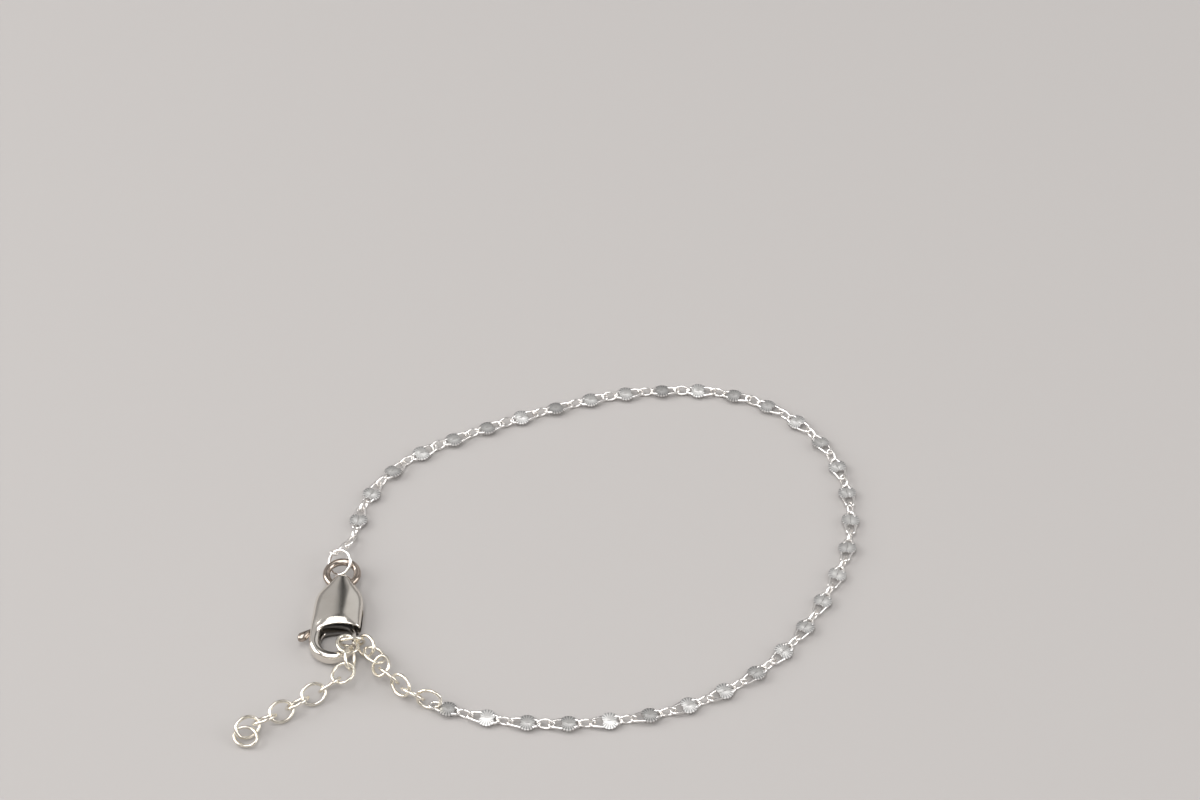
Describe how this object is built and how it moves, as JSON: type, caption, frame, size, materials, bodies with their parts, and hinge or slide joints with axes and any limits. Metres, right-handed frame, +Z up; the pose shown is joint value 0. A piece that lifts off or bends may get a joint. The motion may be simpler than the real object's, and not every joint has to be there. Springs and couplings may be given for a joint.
{
  "type": "disc chain bracelet",
  "caption": "Silver bracelet of fluted sunburst disc links on a fine chain, closed by a lobster clasp hooked into an extension chain with a free tail.",
  "frame": {"origin": "under the middle of the whole bracelet's bounding box, on the table it lies on", "axes": "+Z up from the table, +X along the longest extent away from the clasp, +Y along the clasp from its hook to its ring"},
  "size_m": [0.0658, 0.0532, 0.0028],
  "materials": {
    "chain_silver": "polished",
    "extension_silver": "polished",
    "clasp_silver": "mirror polished",
    "ring_silver": "polished, slightly tarnished"
  },
  "bodies": {
    "bracelet": {"chain_end_link_01": "chain_silver", "chain_end_link_02": "chain_silver", "chain_end_link_03": "chain_silver", "clasp_body": "clasp_silver", "clasp_ring": "ring_silver", "disc_link_01": "chain_silver", "disc_link_02": "chain_silver", "disc_link_03": "chain_silver", "disc_link_04": "chain_silver", "disc_link_05": "chain_silver", "disc_link_06": "chain_silver", "disc_link_07": "chain_silver", "disc_link_08": "chain_silver", "disc_link_09": "chain_silver", "disc_link_10": "chain_silver", "disc_link_11": "chain_silver", "disc_link_12": "chain_silver", "disc_link_13": "chain_silver", "disc_link_14": "chain_silver", "disc_link_15": "chain_silver", "disc_link_16": "chain_silver", "disc_link_17": "chain_silver", "disc_link_18": "chain_silver", "disc_link_19": "chain_silver", "disc_link_20": "chain_silver", "disc_link_21": "chain_silver", "disc_link_22": "chain_silver", "disc_link_23": "chain_silver", "disc_link_24": "chain_silver", "disc_link_25": "chain_silver", "disc_link_26": "chain_silver", "disc_link_27": "chain_silver", "disc_link_28": "chain_silver", "disc_link_29": "chain_silver", "disc_link_30": "chain_silver", "disc_link_31": "chain_silver", "disc_link_32": "chain_silver", "disc_link_33": "chain_silver", "extension_link_01": "extension_silver", "extension_link_02": "extension_silver", "extension_link_03": "extension_silver", "extension_link_04": "extension_silver", "extension_link_05": "extension_silver", "extension_link_06": "extension_silver", "extension_link_07": "extension_silver", "extension_link_08": "extension_silver", "extension_link_09": "extension_silver", "extension_link_10": "extension_silver", "extension_link_11": "extension_silver", "extension_link_12": "extension_silver", "extension_link_13": "extension_silver", "extension_link_14": "extension_silver", "extension_link_15": "extension_silver", "extension_link_16": "extension_silver", "extension_link_17": "extension_silver", "extension_link_18": "extension_silver", "jump_ring": "chain_silver"},
    "lever": {"clasp_lever": "clasp_silver"}
  },
  "joints": [
    {"name": "lever", "type": "hinge", "parent": "bracelet", "child": "lever", "pos_m": [-0.02202, -0.01066, 0.001], "axis": [0, 0, -1], "range_deg": [0, 15], "stiffness_Nm_per_rad": 0.0002}
  ]
}
